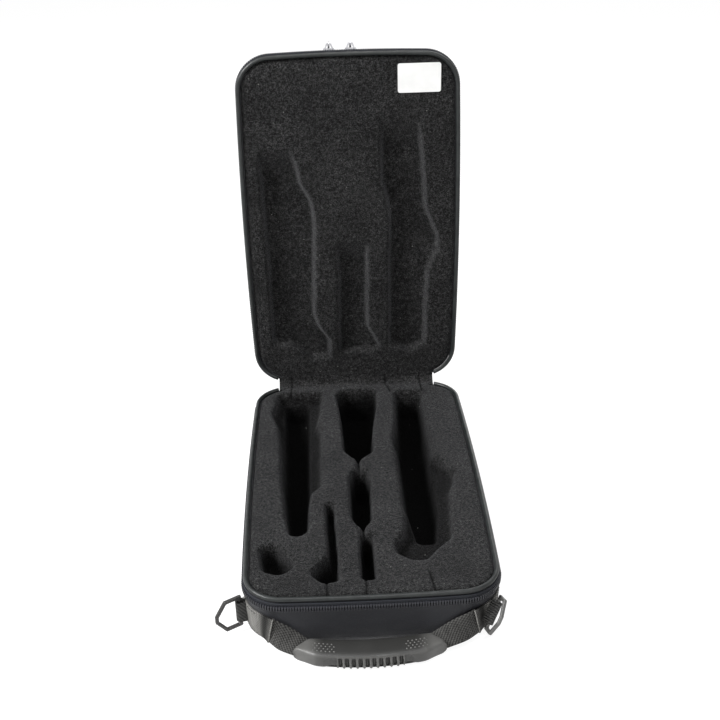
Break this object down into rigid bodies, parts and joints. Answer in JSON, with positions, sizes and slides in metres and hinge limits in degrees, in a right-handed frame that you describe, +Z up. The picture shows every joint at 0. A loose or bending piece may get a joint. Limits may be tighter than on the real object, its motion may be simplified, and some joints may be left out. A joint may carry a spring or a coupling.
{
  "type": "oboe case",
  "caption": "Soft-shell zip case for an oboe, lid standing open: shaped plush pockets, webbing carry handle, two strap rings and an outer document pocket.",
  "frame": {"origin": "centre of the base's flat underside", "axes": "+Z up out of the open base, -Y towards the carry handle, +Y towards the lid's hinge, +X to the right seen from the handle"},
  "size_m": [0.2352, 0.4106, 0.3998],
  "materials": {
    "nylon_shell": "close navy-black nylon cloth, faint sheen",
    "foam_board": "stiff moulded foam board, hidden",
    "plush": "short charcoal plush pile",
    "piping": "smooth grey-green corded piping",
    "zip_tape": "woven black zip tape",
    "zip_teeth": "black nylon coil teeth",
    "corner_webbing": "warm grey ribbed webbing",
    "handle_webbing": "dark grey twill webbing",
    "grip_rubber": "moulded warm grey rubber, satin",
    "black_steel": "black lacquered steel wire",
    "nickel_steel": "nickel-plated steel wire",
    "slider_metal": "nickel-plated die-cast metal",
    "pull_rubber": "black moulded pull",
    "label_card": "bare off-white label plate"
  },
  "bodies": {
    "base": {"base_cover": "nylon_shell", "base_shell": "foam_board", "base_insert": "plush", "base_piping": "piping", "base_zip_tape": "zip_tape", "base_zip_teeth": "zip_teeth", "base_zip_stops": "zip_teeth", "corner_strap_left": "corner_webbing", "corner_strap_right": "corner_webbing", "ring_tab_left": "corner_webbing", "ring_tab_right": "corner_webbing", "handle_strap_left": "handle_webbing", "handle_strap_right": "handle_webbing", "hinge_lining": "plush", "hinge_strip": "nylon_shell"},
    "lid": {"lid_cover": "nylon_shell", "lid_shell": "foam_board", "lid_insert": "plush", "lid_piping": "piping", "lid_zip_tape": "zip_tape", "lid_zip_teeth": "zip_teeth", "lid_zip_stops": "zip_teeth", "label_plate": "label_card", "lid_pocket": "nylon_shell", "pocket_zip_tape": "zip_tape", "pocket_zip_teeth": "zip_teeth"},
    "handle": {"grip": "grip_rubber", "grip_web": "handle_webbing"},
    "ring_left": {"ring_left": "black_steel"},
    "ring_right": {"ring_right": "nickel_steel"},
    "main_slider_left": {"main_slider_left": "slider_metal"},
    "main_slider_right": {"main_slider_right": "slider_metal"},
    "main_pull_left": {"main_pull_left": "pull_rubber"},
    "main_pull_right": {"main_pull_right": "pull_rubber"},
    "pocket_slider_left": {"pocket_slider_left": "slider_metal"},
    "pocket_slider_right": {"pocket_slider_right": "slider_metal"},
    "pocket_pull_left": {"pocket_pull_left": "pull_rubber"},
    "pocket_pull_right": {"pocket_pull_right": "pull_rubber"}
  },
  "joints": [
    {"name": "lid_hinge", "type": "hinge", "parent": "base", "child": "lid", "pos_m": [0, 0.1713, 0.0505], "axis": [-1, 0, 0], "range_deg": [-90, 90], "deforming": ["hinge_lining", "hinge_strip"]},
    {"name": "handle_swing", "type": "hinge", "parent": "base", "child": "handle", "pos_m": [0, -0.169, 0.017], "axis": [-1, 0, 0], "range_deg": [-20, 85], "deforming": ["handle_strap_left", "handle_strap_right"]},
    {"name": "ring_left_swing", "type": "hinge", "parent": "base", "child": "ring_left", "pos_m": [-0.10766, -0.14613, 0.0204], "axis": [0, 0, 1], "range_deg": [-77, 53]},
    {"name": "ring_right_swing", "type": "hinge", "parent": "base", "child": "ring_right", "pos_m": [0.09619, -0.16539, 0.0225], "axis": [0.4524, 0.4073, 0.7934], "range_deg": [-20, 95]},
    {"name": "main_slider_left_travel", "type": "hinge", "parent": "base", "child": "main_slider_left", "pos_m": [-0.07056, 0.1353, 0.0404], "axis": [0, 0, 1], "range_deg": [0, 50]},
    {"name": "main_pull_left_swing", "type": "hinge", "parent": "main_slider_left", "child": "main_pull_left", "pos_m": [-0.09462, 0.16838, 0.0404], "axis": [0.8088, 0.5881, 0], "range_deg": [-5, 140]},
    {"name": "main_slider_right_travel", "type": "hinge", "parent": "base", "child": "main_slider_right", "pos_m": [0.07056, 0.1353, 0.0404], "axis": [0, 0, -1], "range_deg": [0, 50]},
    {"name": "main_pull_right_swing", "type": "hinge", "parent": "main_slider_right", "child": "main_pull_right", "pos_m": [0.09462, 0.16838, 0.0404], "axis": [0.8088, -0.5881, 0], "range_deg": [-5, 140]},
    {"name": "pocket_slider_left_travel", "type": "slide", "parent": "lid", "child": "pocket_slider_left", "axis": [-1, 0, 0], "range_m": [0, 0.03]},
    {"name": "pocket_pull_left_swing", "type": "hinge", "parent": "pocket_slider_left", "child": "pocket_pull_left", "pos_m": [-0.0165, 0.19025, 0.3973], "axis": [1, 0, 0], "range_deg": [-3, 120]},
    {"name": "pocket_slider_right_travel", "type": "slide", "parent": "lid", "child": "pocket_slider_right", "axis": [1, 0, 0], "range_m": [0, 0.03]},
    {"name": "pocket_pull_right_swing", "type": "hinge", "parent": "pocket_slider_right", "child": "pocket_pull_right", "pos_m": [0.0035, 0.19025, 0.39738], "axis": [1, 0, 0], "range_deg": [-3, 120]}
  ]
}
